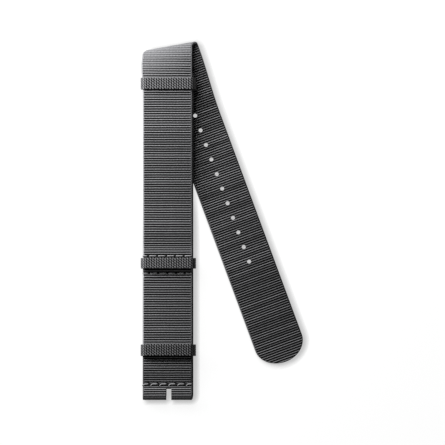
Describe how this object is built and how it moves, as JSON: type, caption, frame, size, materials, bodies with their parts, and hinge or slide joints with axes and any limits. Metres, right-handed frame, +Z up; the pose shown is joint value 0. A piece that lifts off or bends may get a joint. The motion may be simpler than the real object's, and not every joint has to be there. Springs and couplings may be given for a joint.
{
  "type": "watch strap",
  "caption": "Woven one-piece pass-through watch strap with woven keepers, folded once so that the punched tail lies beneath its front leg.",
  "frame": {"origin": "centre of the folded strap's box, on the plane that it lies on", "axes": "+Y along the front leg towards the fold, +X towards the side that the tail swings out to, +Z up from the table to the front's outer face"},
  "size_m": [0.0666, 0.147, 0.0083],
  "materials": {
    "webbing": "ribbed woven nylon, dull",
    "keeper_band": "twill woven nylon band, dull",
    "thread": "twisted sewing thread, slight sheen"
  },
  "bodies": {
    "tail": {"strap_tail": "webbing"},
    "front": {"strap_front": "webbing", "strap_fold": "webbing", "strap_buckle_loop": "webbing", "strap_folded_end": "webbing", "under_strap": "webbing", "fixed_keeper": "keeper_band", "slot_row_needle_thread": "thread", "slot_row_bobbin_thread": "thread", "lower_row_needle_thread": "thread", "lower_row_bobbin_thread": "thread", "upper_row_needle_thread": "thread", "upper_row_bobbin_thread": "thread"},
    "loose_keeper": {"floating_keeper": "keeper_band"},
    "end_loop": {"end_keeper": "keeper_band", "under_strap_end": "webbing", "end_row_needle_thread": "thread", "end_row_bobbin_thread": "thread"}
  },
  "joints": [
    {"name": "fold", "type": "hinge", "parent": "tail", "child": "front", "pos_m": [-0.02376, 0.06885, 0.0025], "axis": [-0.9844, -0.1761, 0], "range_deg": [0, 150], "deforming": ["strap_fold"]},
    {"name": "floating_keeper_slide", "type": "slide", "parent": "front", "child": "loose_keeper", "axis": [0, 1, 0], "range_m": [-0.0075, 0.0271]},
    {"name": "end_keeper_slide", "type": "slide", "parent": "front", "child": "end_loop", "axis": [0, 1, 0], "range_m": [-0.008, 0], "deforming": ["under_strap"]}
  ]
}
